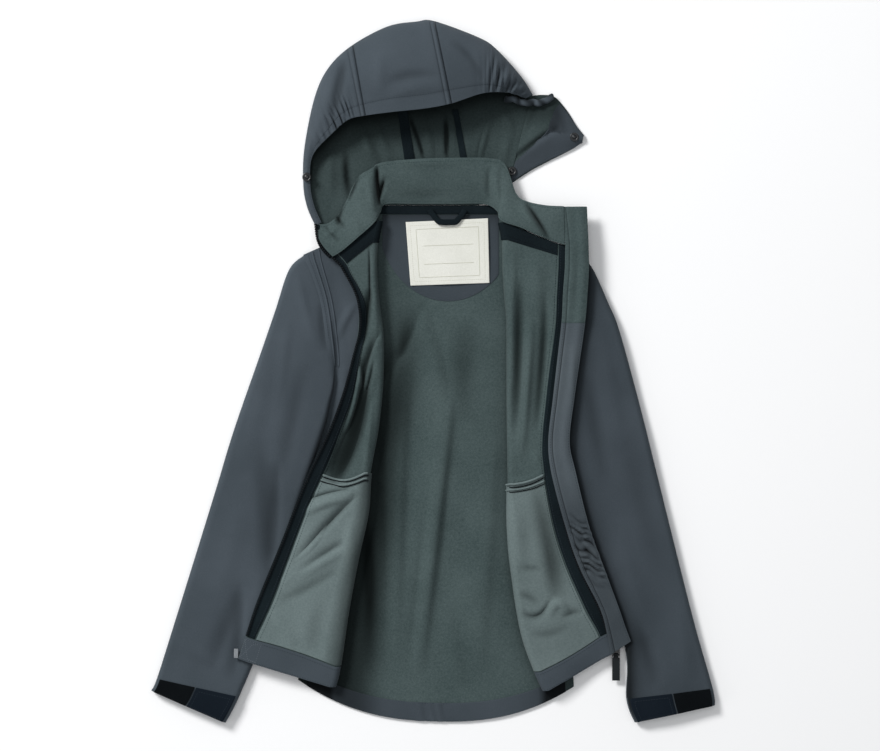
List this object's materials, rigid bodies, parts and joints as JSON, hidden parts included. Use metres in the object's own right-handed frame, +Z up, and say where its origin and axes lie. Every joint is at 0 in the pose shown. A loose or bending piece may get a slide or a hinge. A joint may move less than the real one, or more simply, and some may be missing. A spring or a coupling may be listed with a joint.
{
  "type": "softshell jacket",
  "caption": "Hooded softshell jacket laid flat on its back, both fronts folded open over the sleeves, fleece side showing.",
  "frame": {"origin": "on the floor, under the middle of the jacket's outline", "axes": "+X towards the jacket's right-hand sleeve as seen from above, +Y from hem to hood, +Z up from the floor"},
  "size_m": [0.619, 0.77, 0.045],
  "materials": {
    "shell": "matte woven softshell",
    "fleece": "brushed fleece",
    "pocket": "brushed tricot",
    "tape": "dark woven tape",
    "loop_tape": "hook and loop tape",
    "label": "cream woven label, blank",
    "zip_teeth": "moulded teeth",
    "dark_metal": "dark enamel",
    "bare_metal": "satin"
  },
  "bodies": {
    "jacket": {"back_panel": "fleece", "back_hem_facing": "shell", "back_neck_facing": "shell", "neck_tape_back": "tape", "label": "label", "hanger_loop": "tape", "front_left": "fleece", "hem_facing_left": "shell", "pocket_bag_left": "pocket", "neck_tape_left": "tape", "zip_tape_left": "tape", "zip_teeth_left": "zip_teeth", "front_right": "fleece", "hem_facing_right": "shell", "pocket_bag_right": "pocket", "neck_tape_right": "tape", "zip_tape_right": "tape", "zip_teeth_right": "zip_teeth", "wind_flap": "shell", "chin_guard": "fleece", "collar": "fleece", "hood_left": "shell", "hood_centre": "shell", "hood_right": "shell", "hood_corner": "fleece", "hood_corner_facing": "shell", "snap_corner_tip": "dark_metal", "snap_corner_low": "dark_metal", "snap_left": "dark_metal", "hood_seam_tape_left": "tape", "hood_seam_tape_right": "tape", "sleeve_left": "shell", "cuff_band_left": "loop_tape", "cuff_tab_left": "tape", "sleeve_right": "shell", "cuff_band_right": "loop_tape", "cuff_tab_right": "tape", "zip_end_left": "bare_metal", "zip_slider": "dark_metal"},
    "pull_tab": {"zip_pull": "tape"}
  },
  "joints": [
    {"name": "pull_tab_hinge", "type": "hinge", "parent": "jacket", "child": "pull_tab", "pos_m": [0.2006, -0.3105, 0.0064], "axis": [-1, 0, 0], "range_deg": [0, 90]}
  ]
}
